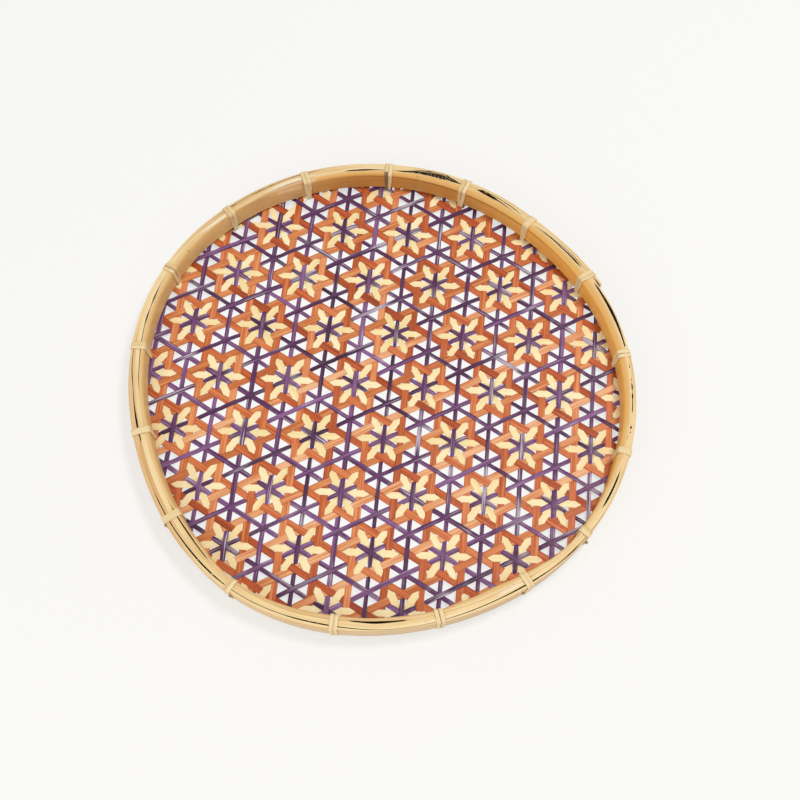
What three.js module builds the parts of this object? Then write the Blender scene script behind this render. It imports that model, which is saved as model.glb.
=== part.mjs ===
// A round bamboo tray that hangs on a wall or lies on a table. An open weave of coloured bamboo strips is
// clamped between two bamboo hoops, and rattan ties bind the hoops together.
// Millimetres, +Z up. The tray lies on its back with its open side up and its origin under its middle.
import * as THREE from "three";

const { degToRad, radToDeg, smoothstep } = THREE.MathUtils;

// Outline of the rim seen from above: the outer hoop's top edge
const RIM_RADIUS = 201;
// The hoops are bent by hand, so the circle has a few low waves: lobes round the rim, how far each lobe
// stands out, and the direction in degrees of one lobe.
const RIM_WAVES = [
  { lobes: 2, height: 3.2, towards: 116.6 },
  { lobes: 3, height: 2.4, towards: -2.1 },
  { lobes: 4, height: 1.2, towards: -27.1 },
  { lobes: 5, height: 0.7, towards: 21.5 },
];
const RIM_STEP_DEGREES = 4;

// Gaps between pieces that touch
const SEAT_GAP = 0.3;
const WRAP_GAP = 0.45;

// Heights
const TIE_THICKNESS = 1;
const HOOP_BOTTOM = TIE_THICKNESS + SEAT_GAP;
const OUTER_HOOP_HEIGHT = 19.8;
const INNER_HOOP_HEIGHT = 16.5;
// How far the top of the rim leans out past its bottom
const RIM_LEAN = 2.3;

// Outer hoop: one long split of bamboo, wound about one and three quarter turns. Its first end springs out
// past a tie, its last end is tucked in beside the mat.
const OUTER_HOOP_THICKNESS = 2.9;
const OUTER_HOOP_ROUNDING = 0.9;
const OUTER_HOOP_START = 25.6;
const OUTER_HOOP_END = 665;
const OUTER_HOOP_END_THICKNESS = 1.8;
const OUTER_HOOP_TAPER_DEGREES = 26;
const TURN_GAP = 0.3;
// The second turn slips in behind the first end over this stretch of the rim
const TURN_CROSSING_START = 8;
const TURN_CROSSING_END = 54;
// Past the last end the inner hoop comes back out to the single turn
const LAST_END_RELIEF_DEGREES = 13;

// Inner hoop: a wide band with a rounded top, its ends meeting in a slanted cut
const INNER_HOOP_THICKNESS = 3.7;
const INNER_HOOP_ROUNDING = 1.4;
const INNER_HOOP_CUT_ANGLE = 107.5;
const INNER_HOOP_CUT_GAP = 1.2;
// How far the cut slants along the rim, through the band and up its height
const CUT_SLANT_THROUGH = 14;
const CUT_SLANT_UP = 6;

// Strip ends turned up between the hoops
const MAT_EDGE_THICKNESS = 0.7;
const MAT_EDGE_DROP = 2;
const MAT_EDGE_GAP = 0.3;

// Ties: two wraps of rattan side by side, drawn together where they go down through the weave
const TIE_WRAP_WIDTH = 3.0;
const TIE_WIDTH = 2 * TIE_WRAP_WIDTH;
const TIE_FOOT_WIDTH = 3.8;
const TIE_GROOVE = 0.45;
const TIE_ANGLES = [
  87.8, 108.3, 128.8, 149.6, 171.1, 193.4, 216.1, 237, 261, 283.4, 303.9, 321, 342.3, 6.8, 29.2, 49.4, 68.4,
];

// Weave: steps from one flower to its neighbour along the row and to the one down the slope, and where
// one flower sits
const FLOWER_STEP_ACROSS = { length: 54.4, heading: -3.6 };
const FLOWER_STEP_DOWN = { length: 53.3, heading: -65.2 };
const FLOWER_AT = { x: 11.7, y: 50.6 };
const STRIP_THICKNESS = 0.35;
const LAYER_GAP = 0.1;
const ORANGE_WIDTH = 5.4;
const PURPLE_WIDTH = 3.6;
const YELLOW_WIDTH = 5.4;
const MAT_STEP_DEGREES = 7.5;
// How far the mat's edge reaches in under the inner hoop, short of its inner face
const MAT_RING_COVER = 0.8;
// A gap in the weave smaller than this is closed, and corners of a gap this near each other are one
const LEAST_GAP_AREA = 12;
const LEAST_GAP_EDGE = 0.2;

const BAMBOO_GOLD = { color: "#dca55c", roughness: 0.42, metalness: 0 };
const BAMBOO_PALE = { color: "#e6be7a", roughness: 0.45, metalness: 0 };
const RATTAN = { color: "#edcb88", roughness: 0.55, metalness: 0 };
const CUT_ENDS = { color: "#8a5a3c", roughness: 0.85, metalness: 0 };
const DYED_ORANGE = { color: "#d9703f", roughness: 0.5, metalness: 0 };
const DYED_PURPLE = { color: "#573a68", roughness: 0.45, metalness: 0 };
const NATURAL_YELLOW = { color: "#f6dd9c", roughness: 0.5, metalness: 0 };

// The mat's layers from the bottom up. Strips run along a line of flowers, or across it.
const across = stepVector(FLOWER_STEP_ACROSS);
const down = stepVector(FLOWER_STEP_DOWN);
const back = down.clone().sub(across);
const upright = down.clone().add(back);
const rising = across.clone().sub(back);
const falling = across.clone().add(down);
const ORANGE = { width: ORANGE_WIDTH, phase: 0.5, finish: DYED_ORANGE };
const YELLOW = { width: YELLOW_WIDTH, phase: 0, finish: NATURAL_YELLOW };
const PURPLE = { width: PURPLE_WIDTH, phase: 0, finish: DYED_PURPLE };
const MAT_LAYERS = [
  { name: "orange_strips_rising", heading: rising, ...ORANGE },
  { name: "orange_strips_falling", heading: falling, ...ORANGE },
  { name: "orange_strips_upright", heading: upright, ...ORANGE },
  { name: "yellow_strips_across", heading: across, ...YELLOW },
  { name: "yellow_strips_rising", heading: back, ...YELLOW },
  { name: "yellow_strips_falling", heading: down, ...YELLOW },
  { name: "purple_strips_falling", heading: falling, ...PURPLE },
  { name: "purple_strips_rising", heading: rising, ...PURPLE },
  { name: "purple_strips_upright", heading: upright, ...PURPLE },
];
const LAYER_PITCH = STRIP_THICKNESS + LAYER_GAP;
const MAT_TOP = HOOP_BOTTOM + MAT_LAYERS.length * LAYER_PITCH - LAYER_GAP;
const INNER_HOOP_BOTTOM = MAT_TOP + SEAT_GAP;
const INNER_HOOP_TOP = INNER_HOOP_BOTTOM + INNER_HOOP_HEIGHT;
const OUTER_HOOP_TOP = HOOP_BOTTOM + OUTER_HOOP_HEIGHT;
const TURN_PITCH = OUTER_HOOP_THICKNESS + TURN_GAP;

function stepVector({ length, heading }) {
  return new THREE.Vector2(length, 0).rotateAround(new THREE.Vector2(), degToRad(heading));
}

// The rim's own frame at an angle: a point on the outline, and the level directions out of and along it
function rimFrame(degrees) {
  const angle = degToRad(degrees);
  let radius = RIM_RADIUS;
  let slope = 0;
  for (const { lobes, height, towards } of RIM_WAVES) {
    const turned = lobes * (angle - degToRad(towards));
    radius += height * Math.cos(turned);
    slope -= lobes * height * Math.sin(turned);
  }
  const cos = Math.cos(angle);
  const sin = Math.sin(angle);
  const along = new THREE.Vector3(slope * cos - radius * sin, slope * sin + radius * cos, 0).normalize();
  const outward = new THREE.Vector3(along.y, -along.x, 0);
  return { point: new THREE.Vector3(radius * cos, radius * sin, 0), outward, along };
}

// The rim leans outwards, so low points lie further in
function leanIn(z) {
  return (RIM_LEAN * (INNER_HOOP_TOP - z)) / INNER_HOOP_TOP;
}

// A point at a depth in from the outline, at height z
function rimPoint(degrees, depth, z) {
  const { point, outward } = rimFrame(degrees);
  return point.addScaledVector(outward, -(depth + leanIn(z))).setZ(z);
}

// Depth of the second turn's outer face, at a plain angle
function secondTurnDepth(degrees) {
  return TURN_PITCH * smoothstep(degrees, TURN_CROSSING_START, TURN_CROSSING_END);
}

function outerHoopThickness(degrees) {
  const fromEnd = Math.min(degrees - OUTER_HOOP_START, OUTER_HOOP_END - degrees);
  const full = smoothstep(fromEnd, 0, OUTER_HOOP_TAPER_DEGREES);
  return THREE.MathUtils.lerp(OUTER_HOOP_END_THICKNESS, OUTER_HOOP_THICKNESS, full);
}

// Depth of the outer hoop's outer face, at an angle counted on through both turns. The first turn lies on
// the second, so its thin end follows the second turn out.
function outerHoopDepth(degrees) {
  if (degrees > 360) return secondTurnDepth(degrees - 360);
  return secondTurnDepth(degrees) - TURN_GAP - outerHoopThickness(degrees);
}

// Depth of the outermost bamboo at a plain angle
function outermostDepth(degrees) {
  const turned = THREE.MathUtils.euclideanModulo(degrees - OUTER_HOOP_START, 360) + OUTER_HOOP_START;
  return outerHoopDepth(turned);
}

// Depth of the space inside the outer hoop, one or two turns thick
function outerHoopInside(degrees) {
  const lastEnd = OUTER_HOOP_END - 360;
  const turned = THREE.MathUtils.euclideanModulo(degrees - lastEnd, 360) + lastEnd;
  const relief = 1 - smoothstep(turned, lastEnd, lastEnd + LAST_END_RELIEF_DEGREES);
  return OUTER_HOOP_THICKNESS + Math.max(TURN_PITCH * relief, secondTurnDepth(turned - 360));
}

function matEdgeDepth(degrees) {
  return outerHoopInside(degrees) + MAT_EDGE_GAP;
}

function innerHoopDepth(degrees) {
  return matEdgeDepth(degrees) + MAT_EDGE_THICKNESS + MAT_EDGE_GAP;
}

// Angles from start to end, with those between on whole steps so that neighbouring bands keep their gap
function rimAngles(start, end, stepDegrees = RIM_STEP_DEGREES) {
  const angles = [start];
  const first = Math.floor(start / stepDegrees) + 1;
  for (let step = first; step * stepDegrees < end; step++) angles.push(step * stepDegrees);
  return [...angles, end];
}

// A solid through rings of corners, anticlockwise seen from the last ring. It closes on itself or is capped
// at both ends by fans from each ring's first corner.
function loft(rings, closed) {
  const corners = rings[0].length;
  const indices = [];
  const joins = closed ? rings.length : rings.length - 1;
  for (let ring = 0; ring < joins; ring++) {
    const here = ring * corners;
    const there = ((ring + 1) % rings.length) * corners;
    for (let corner = 0; corner < corners; corner++) {
      const next = (corner + 1) % corners;
      indices.push(here + corner, here + next, there + next);
      indices.push(here + corner, there + next, there + corner);
    }
  }
  if (!closed) {
    const last = (rings.length - 1) * corners;
    for (let corner = 1; corner < corners - 1; corner++) {
      indices.push(0, corner + 1, corner);
      indices.push(last, last + corner, last + corner + 1);
    }
  }
  const geometry = new THREE.BufferGeometry().setFromPoints(rings.flat());
  geometry.setIndex(indices);
  return geometry;
}

function outerHoop() {
  const round = OUTER_HOOP_ROUNDING;
  const rings = rimAngles(OUTER_HOOP_START, OUTER_HOOP_END).map((degrees) => {
    const outside = outerHoopDepth(degrees);
    const inside = outside + outerHoopThickness(degrees);
    return [
      rimPoint(degrees, inside, OUTER_HOOP_TOP),
      rimPoint(degrees, outside + round, OUTER_HOOP_TOP),
      rimPoint(degrees, outside, OUTER_HOOP_TOP - round),
      rimPoint(degrees, outside, HOOP_BOTTOM + round),
      rimPoint(degrees, outside + round, HOOP_BOTTOM),
      rimPoint(degrees, inside, HOOP_BOTTOM),
    ];
  });
  return loft(rings, false);
}

function innerHoop() {
  const round = INNER_HOOP_ROUNDING;
  const cutGap = radToDeg(INNER_HOOP_CUT_GAP / RIM_RADIUS);
  const start = INNER_HOOP_CUT_ANGLE + cutGap;
  const rings = rimAngles(start, INNER_HOOP_CUT_ANGLE + 360).map((degrees) => {
    const section = [
      [0, INNER_HOOP_BOTTOM],
      [0, INNER_HOOP_TOP - round],
      [0.3 * round, INNER_HOOP_TOP - 0.3 * round],
      [round, INNER_HOOP_TOP],
      [INNER_HOOP_THICKNESS - round, INNER_HOOP_TOP],
      [INNER_HOOP_THICKNESS - 0.3 * round, INNER_HOOP_TOP - 0.3 * round],
      [INNER_HOOP_THICKNESS, INNER_HOOP_TOP - round],
      [INNER_HOOP_THICKNESS, INNER_HOOP_BOTTOM],
    ];
    return section.map(([through, z]) => {
      const slant =
        CUT_SLANT_THROUGH * (through / INNER_HOOP_THICKNESS - 0.5) +
        CUT_SLANT_UP * ((z - INNER_HOOP_BOTTOM) / INNER_HOOP_HEIGHT - 0.5);
      const turned = degrees + radToDeg(slant / RIM_RADIUS);
      return rimPoint(turned, innerHoopDepth(turned) + through, z);
    }).reverse();
  });
  return loft(rings, false);
}

function matEdge() {
  const top = OUTER_HOOP_TOP - MAT_EDGE_DROP;
  const rings = rimAngles(0, 360 - RIM_STEP_DEGREES).map((degrees) => {
    const outside = matEdgeDepth(degrees);
    const inside = outside + MAT_EDGE_THICKNESS;
    return [
      rimPoint(degrees, inside, INNER_HOOP_BOTTOM),
      rimPoint(degrees, inside, top),
      rimPoint(degrees, outside, top),
      rimPoint(degrees, outside, INNER_HOOP_BOTTOM),
    ];
  });
  return loft(rings, true);
}

// Points of the mat at a depth in from the rim, from one angle to another
function matArc(start, end, depthAt) {
  return rimAngles(start, end, MAT_STEP_DEGREES).map((degrees) => {
    const { x, y } = rimPoint(degrees, depthAt(degrees), HOOP_BOTTOM);
    return new THREE.Vector2(x, y);
  });
}

function matRingOutside(degrees) {
  return outerHoopInside(degrees) + SEAT_GAP;
}

function matRingInside(degrees) {
  return innerHoopDepth(degrees) + INNER_HOOP_THICKNESS - MAT_RING_COVER;
}

function withoutShortEdges(outline) {
  return outline.filter((point, index) => {
    return point.distanceTo(outline[(index + 1) % outline.length]) > LEAST_GAP_EDGE;
  });
}

// The opening inside the mat's ring between two lines square to a direction, at low and high along it
function matGap(direction, low, high) {
  const heading = radToDeg(direction.angle());
  const angleAt = (limit, side) => {
    let above = 0;
    let below = 180;
    for (let halving = 0; halving < 24; halving++) {
      const middle = (above + below) / 2;
      const degrees = heading + side * middle;
      const { x, y } = rimPoint(degrees, matRingInside(degrees), HOOP_BOTTOM);
      if (x * direction.x + y * direction.y > limit) above = middle;
      else below = middle;
    }
    return heading + side * above;
  };
  const right = matArc(angleAt(low, -1), angleAt(high, -1), matRingInside);
  const left = matArc(angleAt(high, 1), angleAt(low, 1), matRingInside);
  return withoutShortEdges([...right, ...left]);
}

// Strips of one colour and heading, joined at their ends by the ring of mat that the hoops hold down
function matLayer({ heading, width, phase }) {
  const direction = new THREE.Vector2(-heading.y, heading.x).normalize();
  const pitch = Math.abs(across.cross(down)) / heading.length();
  const middle = FLOWER_AT.x * direction.x + FLOWER_AT.y * direction.y;
  const shape = new THREE.Shape(withoutShortEdges(matArc(0, 360, matRingOutside)));
  const strips = Math.ceil((RIM_RADIUS + Math.abs(middle)) / pitch) + 1;
  for (let strip = -strips; strip < strips; strip++) {
    const low = middle + (strip + phase) * pitch + width / 2;
    const high = middle + (strip + 1 + phase) * pitch - width / 2;
    const gap = matGap(direction, low, high);
    if (gap.length > 2 && THREE.ShapeUtils.area(gap) > LEAST_GAP_AREA) shape.holes.push(new THREE.Path(gap));
  }
  return new THREE.ExtrudeGeometry(shape, { depth: STRIP_THICKNESS, bevelEnabled: false });
}

// Moves each stretch of an open path to its left by a distance
function offsetPath(path, distance) {
  const sides = path.slice(1).map((point, index) => {
    const run = point.clone().sub(path[index]).normalize();
    return new THREE.Vector2(-run.y, run.x);
  });
  return path.map((point, index) => {
    const before = sides[Math.max(index - 1, 0)];
    const after = sides[Math.min(index, sides.length - 1)];
    const mitre = before.clone().add(after);
    return point.clone().addScaledVector(mitre, (2 * distance) / mitre.lengthSq());
  });
}

// A tie hugs the rim from the weave inside, over the top, down the outside and back under the mat. It is
// open where the mat's layers pass.
function tie(degrees) {
  const { point, outward, along } = rimFrame(degrees);
  const outside = outermostDepth(degrees) - WRAP_GAP;
  const inside = innerHoopDepth(degrees) + INNER_HOOP_THICKNESS + WRAP_GAP;
  const top = INNER_HOOP_TOP + WRAP_GAP;
  const round = INNER_HOOP_ROUNDING;
  const outerRound = OUTER_HOOP_ROUNDING;
  const stops = [
    { depth: inside, z: INNER_HOOP_BOTTOM, width: TIE_FOOT_WIDTH, groove: 0 },
    { depth: inside, z: INNER_HOOP_TOP - round, width: TIE_WIDTH, groove: TIE_GROOVE },
    { depth: inside - 0.3 * round, z: top - 0.3 * round, width: TIE_WIDTH, groove: TIE_GROOVE },
    { depth: inside - WRAP_GAP - round, z: top, width: TIE_WIDTH, groove: TIE_GROOVE },
    { depth: innerHoopDepth(degrees) + 0.5 * round, z: top, width: TIE_WIDTH, groove: TIE_GROOVE },
    { depth: outside + outerRound, z: OUTER_HOOP_TOP + WRAP_GAP, width: TIE_WIDTH, groove: TIE_GROOVE },
    { depth: outside, z: OUTER_HOOP_TOP - outerRound, width: TIE_WIDTH, groove: TIE_GROOVE },
    { depth: outside, z: HOOP_BOTTOM + outerRound, width: TIE_WIDTH, groove: TIE_GROOVE },
    { depth: outside + outerRound, z: TIE_THICKNESS, width: TIE_WIDTH, groove: 0 },
    { depth: inside, z: TIE_THICKNESS, width: TIE_FOOT_WIDTH, groove: 0 },
  ];
  const inner = stops.map(({ depth, z }) => new THREE.Vector2(-(depth + leanIn(z)), z));
  const outer = offsetPath(inner, TIE_THICKNESS);
  const rings = stops.map(({ width, groove }, index) => {
    const place = (flat, side) => {
      const spot = point.clone().addScaledVector(outward, flat.x).addScaledVector(along, side);
      return spot.setZ(flat.y);
    };
    const grooved = outer[index].clone().lerp(inner[index], groove / TIE_THICKNESS);
    return [
      place(grooved, 0),
      place(outer[index], -width / 2),
      place(inner[index], -width / 2),
      place(inner[index], width / 2),
      place(outer[index], width / 2),
    ];
  });
  return loft(rings, false);
}

const tray = new THREE.Group();

function addPiece(name, geometry, finish, z = 0) {
  const piece = new THREE.Mesh(geometry, new THREE.MeshStandardMaterial(finish));
  piece.name = name;
  piece.position.z = z;
  tray.add(piece);
}

addPiece("outer_hoop", outerHoop(), BAMBOO_PALE);
addPiece("inner_hoop", innerHoop(), BAMBOO_GOLD);
addPiece("mat_edge", matEdge(), CUT_ENDS);
MAT_LAYERS.forEach((layer, index) => {
  addPiece(layer.name, matLayer(layer), layer.finish, HOOP_BOTTOM + index * LAYER_PITCH);
});
TIE_ANGLES.forEach((degrees, index) => {
  addPiece(`tie_${String(index + 1).padStart(2, "0")}`, tie(degrees), RATTAN);
});

// The origin is under the middle of the whole tray
const whole = new THREE.Box3().setFromObject(tray);
const centre = whole.getCenter(new THREE.Vector3());
tray.position.set(-centre.x, -centre.y, -whole.min.z);

export default tray;
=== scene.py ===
"""A round bamboo tray: an open weave of coloured strips held between two bent hoops and bound with rattan."""

import math
import random

import bpy
import numpy as np
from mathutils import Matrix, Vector


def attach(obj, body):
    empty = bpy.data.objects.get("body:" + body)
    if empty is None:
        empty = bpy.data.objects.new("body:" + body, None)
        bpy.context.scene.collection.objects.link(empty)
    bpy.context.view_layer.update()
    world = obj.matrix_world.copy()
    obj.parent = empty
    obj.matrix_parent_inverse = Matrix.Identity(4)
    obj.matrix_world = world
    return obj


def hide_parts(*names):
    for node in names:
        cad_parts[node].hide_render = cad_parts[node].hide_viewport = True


bl_info = {
    "name": "Woven Bamboo Tray",
    "version": (1, 0, 0),
    "blender": (4, 5, 0),
    "location": "3D View > Sidebar > Bamboo Tray",
    "description": "Weaves, binds and lights a round tray of coloured bamboo strips",
    "category": "Object",
}

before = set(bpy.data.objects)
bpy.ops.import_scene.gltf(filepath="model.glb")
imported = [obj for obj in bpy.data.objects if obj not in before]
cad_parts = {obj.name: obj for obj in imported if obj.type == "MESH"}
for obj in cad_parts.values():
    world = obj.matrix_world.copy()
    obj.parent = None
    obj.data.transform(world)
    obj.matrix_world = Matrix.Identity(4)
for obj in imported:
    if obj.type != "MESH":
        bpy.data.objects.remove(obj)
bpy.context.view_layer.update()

MM = 0.001
# From the middle of the rim's outline to the middle of the whole tray, in millimetres
TRAY_SHIFT = np.array([-1.4370, -1.2296, 0.0])

# Outline of the rim: mean radius and its low waves (lobes, how far each stands out, direction of one)
RIM_RADIUS = 201.0
RIM_WAVES = ((2, 3.2, 116.6), (3, 2.4, -2.1), (4, 1.2, -27.1), (5, 0.7, 21.5))
RIM_LEAN = 2.3

HOOP_BOTTOM = 1.3
OUTER_HOOP_TOP = 21.1
INNER_HOOP_BOTTOM = 5.55
INNER_HOOP_TOP = 22.05
OUTER_HOOP_THICKNESS = 2.9
OUTER_HOOP_START = 25.6
OUTER_HOOP_END = 305.0
INNER_HOOP_ANGLES = (107.7, 467.5)
INNER_HOOP_CUT = 107.6
SHAVED_ANGLES = (111, 126)
SHAVED_DEPTH = 4.8
TURN_PITCH = 3.2
TURN_CROSSING = (8.0, 54.0)
LAST_END_RELIEF = 13.0
TIE_ANGLES = (
    87.8, 108.3, 128.8, 149.6, 171.1, 193.4, 216.1, 237, 261, 283.4, 303.9, 321, 342.3, 6.8, 29.2, 49.4, 68.4)
# Ties whose cut end shows, at which angle and how far out, and the tie with the dark stain, counted from 0
TIE_TIPS = {16: (67.8, -0.1), 6: (217.3, 0.3), 7: (238.5, 1.5), 10: (301.7, 1.7), 11: (319.2, 1.8)}
STAINED_TIE = 0
WRAP_SPACING = 1.52

# Ragged strip ends that stand in the widest gap, and pale slivers across the grooves: angle and width
STRIP_END_HEIGHT = 9
SLIVERS_INSIDE = ((161.4, 0.8), (279.2, 0.6))
SLIVERS_OUTSIDE = ((227.8, 0.8), (232.4, 1.5), (255.8, 0.7), (257.6, 0.5), (306.6, 0.6))

# Weave: the step from one flower to its neighbour along the row, the step down the slope, and one flower
ACROSS = np.array([54.293, -3.416])
DOWN = np.array([22.357, -48.385])
FLOWER_AT = np.array([11.7, 50.6])
BACK = DOWN - ACROSS
UPRIGHT = DOWN + BACK
RISING = ACROSS - BACK
FALLING = ACROSS + DOWN
MAT_MIDDLE = 3.3
MAT_WIDTH = 460.0
# Where the outermost strips may run, how far a strip turns off its heading and how long its waves are
OUTERMOST_STRIP = 186
STRIP_TURN = 0.0022
STRIP_WAVE = 38


def smoothstep(x, low, high):
    t = np.clip((np.asarray(x, float) - low) / (high - low), 0.0, 1.0)
    return t * t * (3 - 2 * t)


# The rim's own measure


def rim_frame(degrees):
    """Points of the outline, and the level directions out of it and along it."""
    angle = np.radians(np.asarray(degrees, float))
    radius = np.full_like(angle, RIM_RADIUS)
    slope = np.zeros_like(angle)
    for lobes, height, towards in RIM_WAVES:
        turned = lobes * (angle - math.radians(towards))
        radius += height * np.cos(turned)
        slope -= lobes * height * np.sin(turned)
    cos, sin = np.cos(angle), np.sin(angle)
    along = np.stack([slope * cos - radius * sin, slope * sin + radius * cos], -1)
    along /= np.linalg.norm(along, axis=-1, keepdims=True)
    outward = np.stack([along[..., 1], -along[..., 0]], -1)
    return np.stack([radius * cos, radius * sin], -1), outward, along


def lean_at(z):
    """How much farther in the rim's faces lie at a height than at its top."""
    return RIM_LEAN * (INNER_HOOP_TOP - z) / INNER_HOOP_TOP


def rim_place(degrees, depth, z):
    """A place at a depth in from the outline and a height, in metres in the tray's frame."""
    point, outward, _ = rim_frame(degrees)
    z = np.asarray(z, float)
    flat = point - outward * (depth + lean_at(z))[..., None]
    return (np.concatenate([flat, z[..., None]], -1) + TRAY_SHIFT) * MM


def second_turn_depth(degrees):
    return TURN_PITCH * smoothstep(degrees, *TURN_CROSSING)


def hoop_gap_depth(degrees):
    """Depth of the space between the outer and the inner hoop."""
    turned = np.mod(np.asarray(degrees, float) - OUTER_HOOP_END, 360) + OUTER_HOOP_END
    relief = 1 - smoothstep(turned, OUTER_HOOP_END, OUTER_HOOP_END + LAST_END_RELIEF)
    return OUTER_HOOP_THICKNESS + np.maximum(TURN_PITCH * relief, second_turn_depth(turned - 360))


def rim_reach(start, heading):
    """How far a line in the mat runs from start along heading before it meets the outer hoop."""
    near, far = 0.0, MAT_WIDTH
    for _ in range(30):
        middle = (near + far) / 2
        x, y = start + heading * middle
        degrees = math.degrees(math.atan2(y, x))
        point, _, _ = rim_frame(degrees)
        inside = math.hypot(*point) - float(hoop_gap_depth(degrees)) - RIM_LEAN - 0.4
        if math.hypot(x, y) < inside:
            near = middle
        else:
            far = middle
    return near


# Small jobs that every piece needs


def deselect():
    if bpy.context.object and bpy.context.object.mode != "OBJECT":
        bpy.ops.object.mode_set(mode="OBJECT")
    bpy.ops.object.select_all(action="DESELECT")


def alone(piece):
    """Selects one piece alone."""
    deselect()
    piece.select_set(True)
    bpy.context.view_layer.objects.active = piece


def edit(piece):
    """Opens one piece alone in edit mode, all of it selected."""
    alone(piece)
    bpy.ops.object.mode_set(mode="EDIT")
    bpy.ops.mesh.select_all(action="SELECT")


def block(length, thickness, height):
    """A cube pulled to a size, left open in edit mode."""
    deselect()
    bpy.ops.mesh.primitive_cube_add(size=1)
    piece = bpy.context.object
    edit(piece)
    bpy.ops.transform.resize(value=(length, thickness, height))
    return piece


def pick(piece, wanted, kind="VERT"):
    """Selects the vertices, or the edges, whose middle answers wanted(middle, direction)."""
    edit(piece)
    bpy.ops.mesh.select_mode(type=kind)
    bpy.ops.mesh.select_all(action="DESELECT")
    bpy.ops.object.mode_set(mode="OBJECT")
    mesh = piece.data
    if kind == "VERT":
        for vertex in mesh.vertices:
            vertex.select = bool(wanted(vertex.co, None))
    else:
        for edge in mesh.edges:
            a, b = (mesh.vertices[i].co for i in edge.vertices)
            edge.select = bool(wanted((a + b) / 2, (b - a).normalized()))
    bpy.ops.object.mode_set(mode="EDIT")


def apply_modifier(piece, kind, **settings):
    alone(piece)
    modifier = piece.modifiers.new(kind.title(), kind)
    for key, value in settings.items():
        setattr(modifier, key, value)
    bpy.ops.object.modifier_apply(modifier=modifier.name)


def copy_of(piece):
    alone(piece)
    bpy.ops.object.duplicate(linked=False)
    return bpy.context.object


def joined(pieces, name):
    alone(pieces[0])
    for piece in pieces[1:]:
        piece.select_set(True)
    bpy.ops.object.join()
    whole = bpy.context.object
    whole.name = whole.data.name = name
    return whole


def places(piece):
    flat = np.empty(len(piece.data.vertices) * 3)
    piece.data.vertices.foreach_get("co", flat)
    return flat.reshape(-1, 3)


def put(piece, spots):
    piece.data.vertices.foreach_set("co", np.ascontiguousarray(spots, np.float32).ravel())
    piece.data.update()


def set_down(piece, middle, first, second):
    """Puts a small piece at a place, its X and its Y along two directions."""
    spots = places(piece)
    put(piece, middle + spots[:, :1] * first + spots[:, 1:2] * second + spots[:, 2:] * [0, 0, 1])


def lay_grain(piece, number, across):
    """A UV map in metres: u along the stock, v across it. Whole parts of v number the pieces."""
    mesh = piece.data
    layer = mesh.uv_layers.get("Grain") or mesh.uv_layers.new(name="Grain")
    spots = places(piece)
    corners = np.empty(len(mesh.loops), np.int32)
    mesh.loops.foreach_get("vertex_index", corners)
    v = across(spots)[corners] + number + 0.5
    layer.data.foreach_set("uv", np.stack([spots[corners, 0], v], -1).astype(np.float32).ravel())


def finish_piece(piece, nodes):
    alone(piece)
    bpy.ops.object.shade_smooth_by_angle(angle=math.radians(40))
    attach(piece, "root")
    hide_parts(*nodes)


# Finishes


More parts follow.
